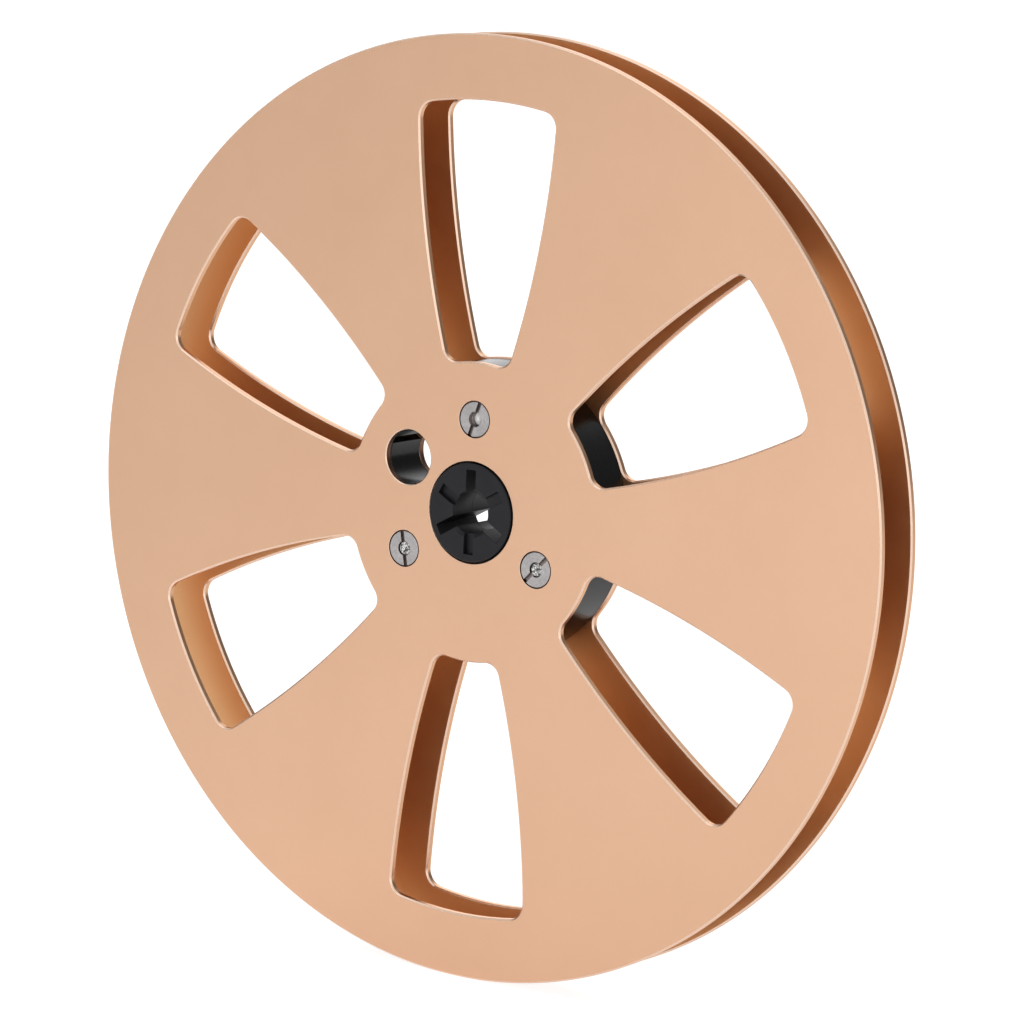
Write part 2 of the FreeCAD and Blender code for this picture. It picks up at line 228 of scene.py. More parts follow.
class Skin:
    """Gathers faces with their true normals and welds them into one closed mesh."""

    def __init__(self):
        self.patches = {4: [], 3: []}  # by corners per face

    def add(self, corners, normals, material):
        patch = (corners, normals, np.full(len(corners), material))
        self.patches[corners.shape[1]].append(patch)

    def rows(self, points, normals, material=0):
        """Bands of quads between successive closed rows."""

        def band(a, b):
            return np.stack([a, np.roll(a, -1, 0), np.roll(b, -1, 0), b], 1)

        for i in range(len(points) - 1):
            self.add(
                band(points[i], points[i + 1]), band(normals[i], normals[i + 1]), material
            )

    def edge(self, sharp, normal_a, normal_b, radius, material=0, steps=3):
        """Rounds a sharp edge between two normals. Returns its first and last row."""
        dot = np.clip((normal_a * normal_b).sum(-1, keepdims=True), -1, 1)
        angle = np.maximum(np.arccos(dot), 1e-9)
        centre = sharp - radius * (normal_a + normal_b) / (1 + dot)
        shares = np.linspace(0, 1, steps + 1)[:, None, None]
        normals = fan(normal_a, normal_b, angle, shares)
        points = centre + radius * normals
        self.rows(points, normals, material)
        return points[0], points[-1]

    def cap(self, loops, y, facing, material=0):
        """Fills the flat region inside an odd number of the loops, at height y."""
        loops = [loop[:, [0, 2]] if loop.shape[1] == 3 else loop for loop in loops]
        vertices, index = weld(np.concatenate(loops), 6)
        edges = set()
        for part in np.split(index, np.cumsum([len(loop) for loop in loops])[:-1]):
            for a, b in zip(part.tolist(), np.roll(part, -1).tolist()):
                if a != b:
                    edges.add((min(a, b), max(a, b)))
        _, _, faces, origins, _, _ = delaunay_2d_cdt(
            [Vector(v) for v in vertices.tolist()], list(edges), [], 0, 1e-7, True
        )
        origins = np.array([o[0] if o else -1 for o in origins])
        if (origins < 0).any():
            raise ValueError("a cap's loops cross")
        triangles = origins[np.array([f for f in faces if len(f) == 3])]

        centres = vertices[triangles].mean(1)
        inside = np.zeros(len(centres), bool)
        batch = 2000  # keeps the test's arrays small
        for loop in loops:
            x0, z0 = loop[:, 0], loop[:, 1]
            x1, z1 = np.roll(x0, -1), np.roll(z0, -1)
            rise = np.where(z1 == z0, 1e-30, z1 - z0)
            for start in range(0, len(centres), batch):
                x, z = centres[start : start + batch, :1], centres[start : start + batch, 1:]
                hit = ((z0 > z) != (z1 > z)) & (x < (x1 - x0) * (z - z0) / rise + x0)
                inside[start : start + batch] ^= (hit.sum(1) % 2).astype(bool)

        corners = up(vertices, y)[triangles[inside]]
        normals = np.zeros_like(corners)
        normals[..., 1] = facing
        self.add(corners, normals, material)

    def wall(self, points, normals, stations, first=None, last=None,
             materials=None, radius=0.05, steps=3):
        """Sweeps a loop along stations (inset into the material, height), rounding its convex
        edges. first and last are +1 or -1 where a flat face that looks that way along Y adjoins.
        Returns the first and last row."""
        stations = np.array(stations, float)
        slopes = [(b - a) / np.linalg.norm(b - a) for a, b in zip(stations, stations[1:])]
        sides = [lift(normals, rise, inset) for inset, rise in slopes]
        facing = [
            lift(normals, 0, first) if first else None,
            *sides,
            lift(normals, 0, last) if last else None,
        ]
        materials = materials or [0] * len(sides)
        padded = [materials[0], *materials, materials[-1]]
        befores, afters = [], []
        for i, (inset, y) in enumerate(stations):
            before = after = up(points - normals * inset, y)
            if 0 < i < len(sides):
                a, b = slopes[i - 1], slopes[i]
                convex = a[0] * b[1] - a[1] * b[0] < -1e-9
            else:
                convex = facing[i] is not None and facing[i + 1] is not None
            if convex:
                material = max(padded[i], padded[i + 1])
                before, after = self.edge(
                    before, facing[i], facing[i + 1], radius, material, steps
                )
            befores.append(before)
            afters.append(after)
        for start, end, side, material in zip(afters, befores[1:], sides, materials):
            self.rows([start, end], [side, side], material)
        return befores[0], afters[-1]

    def through(self, rims, loop, stations, **options):
        """A wall from a front face to a rear face. Its end rows join the two lists in rims."""
        for rim, row in zip(rims, self.wall(*loop, stations, -1, 1, **options)):
            rim.append(row)

    def flip_to_rear(self, turn=0.0):
        """Mirrors everything across the middle plane, then turns it about the spin axis."""
        mirror = np.array([1.0, -1.0, 1.0])
        cos, sin = math.cos(math.radians(-turn)), math.sin(math.radians(-turn))
        turning = np.array([[cos, 0, sin], [0, 1, 0], [-sin, 0, cos]])
        for patches in self.patches.values():
            patches[:] = [
                ((corners * mirror) @ turning, (normals * mirror) @ turning, materials)
                for corners, normals, materials in patches
            ]

    def build(self, name):
        """Makes the object, with its faces wound to agree with their normals."""
        groups = [
            [np.concatenate(part) for part in zip(*patches)]
            for patches in self.patches.values()
            if patches
        ]
        vertices, index = weld(np.concatenate([g[0].reshape(-1, 3) for g in groups]), 5)
        faces, face_normals, face_materials = [], [], []
        start = 0
        for corners, normals, materials in groups:
            size = corners.shape[1]
            end = start + len(corners) * size
            polygons = index[start:end].reshape(-1, size)
            start = end
            q = vertices[polygons]
            last = q[:, 3] if size == 4 else q[:, 0]
            winding = np.cross(q[:, 2] - q[:, 0], last - q[:, 1])
            wrong = (winding * normals.mean(1)).sum(-1) < 0
            polygons[wrong] = polygons[wrong][:, ::-1]
            normals[wrong] = normals[wrong][:, ::-1]
            for face, corner_normals, material in zip(
                polygons.tolist(), normals.tolist(), materials.tolist()
            ):
                keep = [i for i in range(size) if face[i] != face[i - 1]]
                if len({face[i] for i in keep}) < 3:
                    continue
                faces.append([face[i] for i in keep])
                face_normals.extend(corner_normals[i] for i in keep)
                face_materials.append(material)
        mesh = bpy.data.meshes.new(name)
        mesh.from_pydata((vertices * MM).tolist(), [], faces)
        mesh.polygons.foreach_set("material_index", face_materials)
        mesh.polygons.foreach_set("use_smooth", [True] * len(faces))
        mesh.normals_split_custom_set(face_normals)
        mesh.update()
        piece = bpy.data.objects.new(name, mesh)
        bpy.context.scene.collection.objects.link(piece)
        return piece


def chamfered(width, y_start, y_end):
    """Stations of a wall with a 45 degree chamfer at both ends."""
    return [(width, y_start), (0, y_start + width), (0, y_end - width), (width, y_end)]


# ------------------------------------------------------------------ flanges
RIM_RADIUS = 88.9
RIM_CHAMFER = 0.3  # also the windows'
KEYHOLE_CHAMFER = 0.18
BUSH_HOLE_RADIUS, BUSH_HOLE_CHAMFER = 9.6, 0.12
SEAT_WIDTH, SEAT_CHAMFER = 1.17, 0.05  # counterbore, beyond the hole's radius

WINDOWS = (90.0, 30.0, -30.0, -90.0, -150.0, 150.0)
REAR_WINDOW_TURN = 0.65
WINDOW_OUTER, WINDOW_INNER = 76.7, 28.29  # radii about the spin axis
OUTER_CORNER, INNER_CORNER = 3.17, 2.89  # corner radii
SIDE_RADIUS = 180.45  # the bowed sides
SIDE_CENTRE = np.array([-164.79, 82.98])  # of the +X side, for a window straight up


def crossing(centre_a, radius_a, centre_b, radius_b, near):
    """The crossing of two circles that lies nearer to a point."""
    centre_a, centre_b = np.array(centre_a, float), np.array(centre_b, float)
    distance = np.linalg.norm(centre_b - centre_a)
    along = (centre_b - centre_a) / distance
    foot = (radius_a * radius_a - radius_b * radius_b + distance * distance) / (2 * distance)
    height = math.sqrt(max(radius_a * radius_a - foot * foot, 0))
    across = np.array([-along[1], along[0]])
    points = [centre_a + foot * along + s * height * across for s in (1, -1)]
    return min(points, key=lambda p: np.linalg.norm(p - np.array(near)))


def direction_of(point, centre):
    return math.degrees(math.atan2(point[1] - centre[1], point[0] - centre[0]))


def window_loop(direction):
    """A window: arcs about the spin axis, slightly bowed sides and rounded corners."""
    outer = crossing(
        AXIS, WINDOW_OUTER - OUTER_CORNER, SIDE_CENTRE, SIDE_RADIUS - OUTER_CORNER, (12, 72.6)
    )
    inner = crossing(
        AXIS, WINDOW_INNER + INNER_CORNER, SIDE_CENTRE, SIDE_RADIUS - INNER_CORNER, (4.7, 30.8)
    )
    outer_end, inner_end = direction_of(outer, AXIS), direction_of(inner, AXIS)
    side_out, side_in = direction_of(outer, SIDE_CENTRE), direction_of(inner, SIDE_CENTRE)
    flip = [-1, 1]
    runs = [
        Arc(AXIS, WINDOW_OUTER, outer_end, 180 - outer_end, 49, -1),
        Arc(outer * flip, OUTER_CORNER, 180 - outer_end, 180 - side_out, 13, -1),
        Arc(SIDE_CENTRE * flip, SIDE_RADIUS, 180 - side_out, 180 - side_in, 37, -1),
        Arc(inner * flip, INNER_CORNER, 180 - side_in, 360 - inner_end, 13, -1),
        Arc(AXIS, WINDOW_INNER, 180 - inner_end, inner_end, 15, 1),
        Arc(inner, INNER_CORNER, inner_end - 180, side_in, 13, -1),
        Arc(SIDE_CENTRE, SIDE_RADIUS, side_in, side_out, 37, -1),
        Arc(outer, OUTER_CORNER, side_out, outer_end, 13, -1),
    ]
    points, normals, _ = chain(runs, 0.1)
    return turned(points, direction - 90), turned(normals, direction - 90)


def make_flange(name, side):
    """side is -1 for the front flange and 1 for the rear one."""
    skin = Skin()
    rims = ([], [])
    y_front, y_back = sorted((side * FLANGE_OUT, side * FLANGE_IN))

    def from_outside(loop, stations, materials, radius):
        """A hole whose stations are given for the front flange, from its outer face inwards."""
        if side > 0:
            stations = [(inset, -y) for inset, y in reversed(stations)]
            materials = materials[::-1]
        skin.through(rims, loop, stations, materials=materials, radius=radius)

    windows = [window_loop(w + (REAR_WINDOW_TURN if side > 0 else 0.0)) for w in WINDOWS]
    for loop in [circle(RIM_RADIUS, 720), *windows]:
        stations = chamfered(RIM_CHAMFER, y_front, y_back)
        skin.through(rims, loop, stations, materials=[CUT, WALL, CUT], radius=0.06)
    skin.through(
        rims, circle(KEYHOLE_RADIUS, 144, KEYHOLE_CENTRE, -1),
        chamfered(KEYHOLE_CHAMFER, y_front, y_back), materials=[CUT, BORE, CUT], radius=0.03,
    )
    bush_hole = [
        (BUSH_HOLE_CHAMFER, -FLANGE_OUT),
        (0, -FLANGE_OUT + BUSH_HOLE_CHAMFER),
        (0, -FLANGE_IN),
    ]
    from_outside(circle(BUSH_HOLE_RADIUS, 216, side=-1), bush_hole, [CUT, WALL], 0.03)
    seat = [
        (SEAT_WIDTH + SEAT_CHAMFER, -FLANGE_OUT),
        (SEAT_WIDTH, -FLANGE_OUT + SEAT_CHAMFER),
        (SEAT_WIDTH, -FLANGE_OUT + SEAT_DEPTH),
        (0, -FLANGE_OUT + SEAT_DEPTH),
        (0, -FLANGE_IN),
    ]
    for centre in FASTENER_CENTRES:
        from_outside(circle(HOLE_RADIUS, 96, centre, -1), seat, [CUT, BORE, BORE, BORE], 0.015)
    materials = (FACE, INNER) if side < 0 else (INNER, FACE)
    skin.cap(rims[0], y_front, -1, materials[0])
    skin.cap(rims[1], y_back, 1, materials[1])
    return skin.build(name)


# ------------------------------------------------------------------ hub
HUB_RADIUS = 28.0
HUB_CHAMFER = 0.1
HUB_BORE = 9.4
SLIT_HALF = 0.7  # half the slit's width


def notched(radius, lug_radius, half, side, fillet):
    """A circle with three lugs, or notches if side is -1, half to each side of their middle."""
    start, lug_start = strip_angle(radius, half), strip_angle(lug_radius, half)
    runs = []
    for direction in FASTENERS:
        out, across = unit(direction), unit(direction + 90)
        root, tip = out * strip_reach(radius, half), out * strip_reach(lug_radius, half)
        low, high = direction - lug_start, direction + lug_start
        runs += [
            Line(root - across * half, tip - across * half, 5, -across * side),
            Arc(AXIS, lug_radius, low, high, 11, side),
            Line(tip + across * half, root + across * half, 5, across * side),
            Arc(AXIS, radius, direction + start, direction + 120 - start, 41, side),
        ]
    return chain(runs, fillet)[:2]


def hub_outline():
    """The hub's rim, with the slit that runs in to the keyhole."""
    out, across = unit(KEYHOLE_DIRECTION), unit(KEYHOLE_DIRECTION + 90) * SLIT_HALF
    gap = strip_angle(HUB_RADIUS, SLIT_HALF)
    mouth = strip_angle(KEYHOLE_RADIUS, SLIT_HALF)
    rim = out * strip_reach(HUB_RADIUS, SLIT_HALF)
    hole = KEYHOLE_CENTRE + out * strip_reach(KEYHOLE_RADIUS, SLIT_HALF)
    normal = unit(KEYHOLE_DIRECTION + 90)
    start = KEYHOLE_DIRECTION
    runs = [
        Arc(AXIS, HUB_RADIUS, start + gap, start - gap + 360, 361),
        Line(rim - across, hole - across, 9, normal),
        Arc(KEYHOLE_CENTRE, KEYHOLE_RADIUS, start - mouth, start + mouth - 360, 145, -1),
        Line(hole + across, rim + across, 9, -normal),
    ]
    return chain(runs, 0.15, 5)[:2]


def make_hub(name):
    skin = Skin()
    rims = front, back = [], []
    full = chamfered(HUB_CHAMFER, -FLANGE_IN, FLANGE_IN)
    skin.through(rims, hub_outline(), full, radius=0.04)
    # a notched recess in each end, and a round bore between their floors
    recess = notched(radius=10.5, lug_radius=11.6, half=2.25, side=-1, fillet=0.2)
    stations = [*full[:2], (0, -LUG_IN)]
    rim, front_floor = skin.wall(*recess, stations, -1, None, radius=0.03)
    front.append(rim)
    stations = [(0, LUG_IN), *full[2:]]
    back_floor, rim = skin.wall(*recess, stations, None, 1, radius=0.03)
    back.append(rim)
    bore = circle(HUB_BORE, 216, side=-1)
    bore_front, bore_back = skin.wall(*bore, [(0, -LUG_IN), (0, LUG_IN)], -1, 1, radius=0.08)
    skin.cap([front_floor, bore_front], -LUG_IN, -1)
    skin.cap([back_floor, bore_back], LUG_IN, 1)
    for centre in FASTENER_CENTRES:
        skin.through(rims, circle(HOLE_RADIUS, 96, centre, -1), full, radius=0.03)
    skin.cap(front, -FLANGE_IN, -1)
    skin.cap(back, FLANGE_IN, 1)
    return skin.build(name)


# ------------------------------------------------------------------ spindle bushes
BUSH_RADIUS = 9.3
BUSH_TOP = -6.4  # outer face of the front bush; its inner face is the middle plane
BUSH_BORE, BUSH_MOUTH = 4.05, 4.75  # radii below and at the top of the mouth's cone
MOUTH_DEPTH = 0.3
DENT_DEPTH = 1.0
ARM_HALF = 1.08  # half the width of slots and dents
SLOT_END, DENT_END = 8.1, 7.85
# Round the bore from 30 degrees: a dent, a slot, and so on. (direction, end)
ARMS = [(30 + 60 * i, SLOT_END if i % 2 else DENT_END) for i in range(6)]
REAR_BUSH_TURN = 1.0


def star(radius):
    """The bore's circle opened by the six arms. Each arm makes four runs:
    its two sides, the end between them, and the bore up to the next arm."""
    gap = strip_angle(radius, ARM_HALF)
    runs = []
    for i, (direction, end) in enumerate(ARMS):
        out, across = unit(direction), unit(direction + 90)
        root, tip, half = out * strip_reach(radius, ARM_HALF), out * end, across * ARM_HALF
        following = ARMS[(i + 1) % 6][0] + (360 if i == 5 else 0)
        runs += [
            Line(root - half, tip - half, 2, across),
            Line(tip - half, tip + half, 2, -out),
            Line(tip + half, root + half, 2, -across),
            Arc(AXIS, radius, direction + gap, following - gap, 17, -1),
        ]
    return chain(runs, 0.12)


def without_dents(points, normals, spans):
    """The star at the bore's radius with its dents bridged by the plain bore."""
    kept_points, kept_normals = [], []
    for dent in (0, 2, 4):
        # from the bore after this dent, past a slot, to the bore before the next dent
        start, end = spans[4 * dent + 3][0], spans[4 * dent + 7][1]
        x0, z0 = points[end - 1]
        x1, z1 = points[spans[(4 * dent + 11) % 24][0]]
        angle0, angle1 = math.atan2(z0, x0), math.atan2(z1, x1)
        if angle1 < angle0:
            angle1 += 2 * math.pi
        angles = np.linspace(angle0, angle1, 10)[1:-1]
        bridge = np.array([[math.cos(a), math.sin(a)] for a in angles])
        kept_points += [points[start:end], BUSH_BORE * bridge]
        kept_normals += [normals[start:end], -bridge]
    return np.concatenate(kept_points), np.concatenate(kept_normals)


def make_bush(name, side):
    """side is -1 for the front bush; the rear one is its mirror image, turned a little."""
    skin = Skin()
    top, top_out, _ = star(BUSH_MOUTH)
    low, low_out, spans = star(BUSH_BORE)
    cone = cone_normals(top, low, top_out, MOUTH_DEPTH)
    straight = up(low_out, 0)
    mouth, cone_top = skin.edge(
        up(top, BUSH_TOP), lift(top_out, 0, -1), cone, radius=0.09, steps=4
    )
    # a narrow mouth cone, a softened crease, then straight bore and slot walls
    cone_end = up(top + (low - top) * 0.9, BUSH_TOP + MOUTH_DEPTH * 0.9)
    skin.rows([cone_top, cone_end], [cone, cone])
    crease_end = up(low, BUSH_TOP + 0.4)
    skin.rows(
        [cone_end, up(low, BUSH_TOP + MOUTH_DEPTH), crease_end],
        [cone, norm(cone + straight), straight],
    )
    dent_floor = BUSH_TOP + DENT_DEPTH
    dent_row = up(low, dent_floor)
    skin.rows([crease_end, dent_row], [straight, straight])
    # below the dents the bore has only its slots
    plain, plain_out = without_dents(low, low_out, spans)
    skin.cap([dent_row, plain], dent_floor, -1)
    plain_side = up(plain_out, 0)
    bore_end, bore_lip = skin.edge(up(plain, 0), plain_side, lift(plain_out, 0, 1), radius=0.1)
    skin.rows([up(plain, dent_floor), bore_end], [plain_side, plain_side])
    # outside
    body = circle(BUSH_RADIUS, 216)
    stations = [(0.2, BUSH_TOP), (0, BUSH_TOP + 0.2), (0, -FLANGE_IN)]
    top_rim, lug_root = skin.wall(*body, stations, -1, None, radius=0.06, steps=4)
    skin.cap([top_rim, mouth], BUSH_TOP, -1)
    lugs = notched(radius=10.4, lug_radius=11.5, half=1.5, side=1, fillet=0.15)
    stations = chamfered(0.1, -FLANGE_IN, -LUG_IN)
    lug_front, lug_back = skin.wall(*lugs, stations, -1, 1, radius=0.03)
    skin.cap([lug_root, lug_front], -FLANGE_IN, -1)
    stations = [(0, -LUG_IN), (0, -0.15), (0.15, 0)]
    lug_root, tail = skin.wall(*body, stations, None, 1, radius=0.04)
    skin.cap([lug_root, lug_back], -LUG_IN, 1)
    skin.cap([tail, bore_lip], 0.0, 1)
    if side > 0:
        skin.flip_to_rear(REAR_BUSH_TURN)
    return skin.build(name)


# ------------------------------------------------------------------ fasteners
HEAD_RADIUS, HEAD_CHAMFER = 3.3, 0.1
HEAD_TOP, HEAD_UNDER = -FLANGE_OUT, -FLANGE_OUT + SEAT_DEPTH
SLOT_HALF, SLOT_DEPTH = 0.4, 0.6
SLOT_FLOOR = HEAD_TOP + SLOT_DEPTH
NUT_BORE, NUT_SHANK, NUT_END = 1.38, 2.25, 4.2  # two radii and a height
SCREW_RADIUS = 1.33
TIP_CHAMFER = 0.15
DISH_RADIUS, DISH_DEPTH = 1.0, 0.14  # the conical hollow in a screw's tip
PITCH, THREAD_HEIGHT = 0.5, 0.12


def radial(points, centre):
    return norm(points - np.array(centre))


def add_thread(skin, angles, centre, start, stop, radius, side, steps_per_turn, nudge,
               lead=0.0, fade_in=0.4, hand=1, material=0):
    """A threaded cylinder, plain for lead and then fading in, and fading out at stop.
    side 1 is a shank, -1 a bore. hand is -1 on a piece that will be mirrored.
    Normals come from the slopes over a small nudge. Returns its end rows."""

    def surface(theta, y):
        fade = np.clip((y - start - lead) / fade_in, 0, 1) * np.clip((stop - y) / 0.4, 0, 1)
        phase = hand * y / PITCH + theta / (2 * math.pi)
        wave = 4 * np.abs(phase - np.floor(phase + 0.5)) - 1
        return radius + THREAD_HEIGHT * fade * np.clip(1.45 * wave, -1, 1)

    count = int(round((stop - start) / PITCH * steps_per_turn))
    y, theta = np.meshgrid(np.linspace(start, stop, count + 1), angles, indexing="ij")
    swing = nudge / radius
    slope_y = (surface(theta, y + nudge) - surface(theta, y - nudge)) / (2 * nudge)
    slope_round = (surface(theta + swing, y) - surface(theta - swing, y)) / (2 * nudge)
    zero = np.zeros_like(theta)
    outward = np.stack([np.cos(theta), zero, np.sin(theta)], -1)
    around = np.stack([-np.sin(theta), zero, np.cos(theta)], -1)
    points = outward * surface(theta, y)[..., None]
    points[..., 1] = y
    points[..., 0] += centre[0]
    points[..., 2] += centre[1]
    normals = outward - around * slope_round[..., None]
    normals[..., 1] -= slope_y
    skin.rows(points, norm(normals) * side, material)
    return points[0], points[-1]


def half_head(radius, bore, direction, centre):
    """One side of a slotted head: its outer arc, its slot wall, and the bore's arc if any."""
    gap, outer = strip_angle(radius, SLOT_HALF), strip_reach(radius, SLOT_HALF)
    runs = [Arc(AXIS, radius, gap, 180 - gap, 49)]
    if bore:
        bore_gap, inner = strip_angle(bore, SLOT_HALF), strip_reach(bore, SLOT_HALF)
        runs += [
            Line((-outer, SLOT_HALF), (-inner, SLOT_HALF), 5, (0, -1)),
            Arc(AXIS, bore, 180 - bore_gap, bore_gap, 25, -1),
            Line((inner, SLOT_HALF), (outer, SLOT_HALF), 5, (0, -1)),
        ]
    else:
        runs.append(Line((-outer, SLOT_HALF), (outer, SLOT_HALF), 9, (0, -1)))
    points, normals, spans = chain(runs, 0.04, 3)
    return turned(points, direction, centre), turned(normals, direction), spans


def join_halves(halves, centre, radius, turn):
    """Joins two arcs into a ring across the slot's ends. turn 1: anticlockwise; -1: clockwise."""
    parts = []
    for half, following in (halves, halves[::-1]):
        start = math.atan2(*(half[-1] - centre)[::-1])
        end = math.atan2(*(following[0] - centre)[::-1])
        if (end - start) * turn < 0:
            end += turn * 2 * math.pi
        parts += [half, centre + radius * spokes(np.linspace(start, end, 7)[1:-1])]
    return np.concatenate(parts)


def slotted_head(skin, bore, direction, centre):
    """A head with its slot. Returns the row under it and the bore's circle, or None."""
    outer, inner, halves = [], [], []
    for side in (0, 180):
        top, out, _ = half_head(
            HEAD_RADIUS - HEAD_CHAMFER, bore + HEAD_CHAMFER if bore else 0,
            direction + side, centre,
        )
        full, full_out, spans = half_head(HEAD_RADIUS, bore, direction + side, centre)
        slope = cone_normals(top, full, out, HEAD_CHAMFER)
        rim, chamfer = skin.edge(
            up(top, HEAD_TOP), lift(out, 0, -1), slope, radius=0.025, steps=2
        )
        skin.cap([rim], HEAD_TOP, -1)
        chamfer_end = up(full, HEAD_TOP + HEAD_CHAMFER)
        skin.rows([chamfer, chamfer_end], [slope, slope])
        straight = up(full_out, 0)
        skin.rows([chamfer_end, up(full, SLOT_FLOOR)], [straight, straight], 1)
        halves.append(full)
        outer.append(full[slice(*spans[0])])
        if bore:
            inner.append(full[slice(*spans[2])])
    ring = join_halves(outer, centre, HEAD_RADIUS, 1)
    hole = join_halves(inner, centre, bore, -1) if bore else None
    skin.cap([ring, *halves] + ([hole] if bore else []), SLOT_FLOOR, -1, 1)
    stations = [(0, SLOT_FLOOR), (0, HEAD_UNDER - 0.05), (0.05, HEAD_UNDER)]
    _, under = skin.wall(ring, radial(ring, centre), stations, None, 1, radius=0.02)
    return under, hole


def make_nut(name, centre, direction):
    """A sleeve nut with its head at the front."""
    skin = Skin()
    under, hole = slotted_head(skin, NUT_BORE, direction, centre)
    stations = [(0, HEAD_UNDER), (0, NUT_END - 0.2), (0.2, NUT_END)]
    shank = circle(NUT_SHANK, 96, centre)
    neck, tail = skin.wall(*shank, stations, None, 1, radius=0.03)
    skin.cap([under, neck], HEAD_UNDER, 1)
    angles = np.unwrap(np.arctan2((hole - centre)[:, 1], (hole - centre)[:, 0]))
    thread_start, thread_end = add_thread(
        skin, angles, centre, start=-5.2, stop=NUT_END - 0.1, radius=NUT_BORE, side=-1,
        steps_per_turn=10, nudge=0.01, material=1,
    )
    hole_out = -radial(hole, centre)
    inward = up(hole_out, 0)
    skin.rows([up(hole, SLOT_FLOOR), thread_start], [inward, inward], 1)
    mouth = up(thread_end[:, [0, 2]] - hole_out * 0.1, NUT_END)
    slope = lift(hole_out, 1, 1)
    skin.rows([thread_end, mouth], [slope, slope])
    skin.cap([tail, mouth], NUT_END, 1)
    return skin.build(name)


def make_screw(name, centre, direction, end):
    """Drawn head forwards, then mirrored to face the rear. end is the drawn tip's height."""
    skin = Skin()
    under, _ = slotted_head(skin, 0, direction, centre)
    stop = end - TIP_CHAMFER
    thread_start, thread_end = add_thread(
        skin, np.linspace(0, 2 * math.pi, 73)[:-1], centre, start=HEAD_UNDER, stop=stop,
        radius=SCREW_RADIUS, side=1, steps_per_turn=16, nudge=0.008, lead=0.25, fade_in=0.5,
        hand=-1,
    )
    skin.cap([under, thread_start], HEAD_UNDER, 1)
    tip = thread_end[:, [0, 2]]
    tip_out = radial(tip, centre)
    stations = [(0, stop), (TIP_CHAMFER, end)]
    _, tip_rim = skin.wall(tip, tip_out, stations, None, 1, radius=0.04)
    reach = (tip - centre) / SCREW_RADIUS * DISH_RADIUS
    skin.cap([tip_rim, centre + reach], end, 1, 2)
    shares = (1.0, 0.8, 0.6, 0.4, 0.2)
    rows = [up(centre + reach * share, end - DISH_DEPTH * (1 - share)) for share in shares]
    skin.rows(rows, [lift(tip_out, -DISH_DEPTH, 1)] * len(rows), 2)
    skin.cap([rows[-1]], end - DISH_DEPTH * (1 - shares[-1]), 1, 2)
    skin.flip_to_rear()
    return skin.build(name)


# ------------------------------------------------------------------ materials
class Graph:
    """A small helper for building nodes. Values may be numbers, tuples or sockets."""

    def __init__(self, tree, space="Object"):
        self.tree = tree
        self.coord = tree.nodes.new("ShaderNodeTexCoord").outputs[space]

    def feed(self, socket, value):
        if isinstance(value, bpy.types.NodeSocket):
            self.tree.links.new(value, socket)
        else:
            socket.default_value = value

    def node(self, kind, settings=None, inputs=None):
        """Inputs are keyed by name or index."""
        node = self.tree.nodes.new(kind)
        for key, value in (settings or {}).items():
            setattr(node, key, value)
        for key, value in (inputs or {}).items():
            self.feed(node.inputs[key], value)
        return node

    def noise(self, scale, detail=2.0, rough=0.5):
        inputs = {"Scale": scale, "Detail": detail, "Roughness": rough, "Vector": self.coord}
        return self.node("ShaderNodeTexNoise", inputs=inputs).outputs[0]

    def turning_marks(self, distance, detail):
        """Fine lines: noise along one distance, in metres."""
        along = self.math("MULTIPLY", distance, 9000.0)
        inputs = {"Scale": 1.0, "Detail": detail, "Roughness": 0.7, "W": along}
        return self.node("ShaderNodeTexNoise", {"noise_dimensions": "1D"}, inputs).outputs[0]

    def range(self, value, over=(0.3, 0.7), to=(0.0, 1.0), interpolation="LINEAR"):
        inputs = dict(enumerate((value, *over, *to)))
        settings = {"interpolation_type": interpolation}
        return self.node("ShaderNodeMapRange", settings, inputs).outputs[0]

    def math(self, operation, a, b):
        return self.node("ShaderNodeMath", {"operation": operation}, {0: a, 1: b}).outputs[0]

    def vector(self, operation, *values, output="Vector"):
        inputs = dict(enumerate(values))
        node = self.node("ShaderNodeVectorMath", {"operation": operation}, inputs)
        return node.outputs[output]

    def mix(self, factor, a, b):
        """Mixes colours."""
        inputs = {0: factor, 6: a, 7: b}
        return self.node("ShaderNodeMix", {"data_type": "RGBA"}, inputs).outputs[2]

    def mix_value(self, factor, a, b):
        inputs = {0: factor, 2: a, 3: b}
        return self.node("ShaderNodeMix", {"data_type": "FLOAT"}, inputs).outputs[0]

    def bump(self, height, strength, distance, normal=None):
        inputs = {"Strength": strength, "Distance": distance, "Height": height}
        if normal is not None:
            inputs["Normal"] = normal
        return self.node("ShaderNodeBump", inputs=inputs).outputs[0]

    def surface(self, inputs):
        """Feeds the Principled shader."""
        shader = next(n for n in self.tree.nodes if n.type == "BSDF_PRINCIPLED")
        for key, value in inputs.items():
            self.feed(shader.inputs[key], value)


def new_material(name):
    material = bpy.data.materials.new(name)
    material.use_nodes = True
    return material, Graph(material.node_tree)


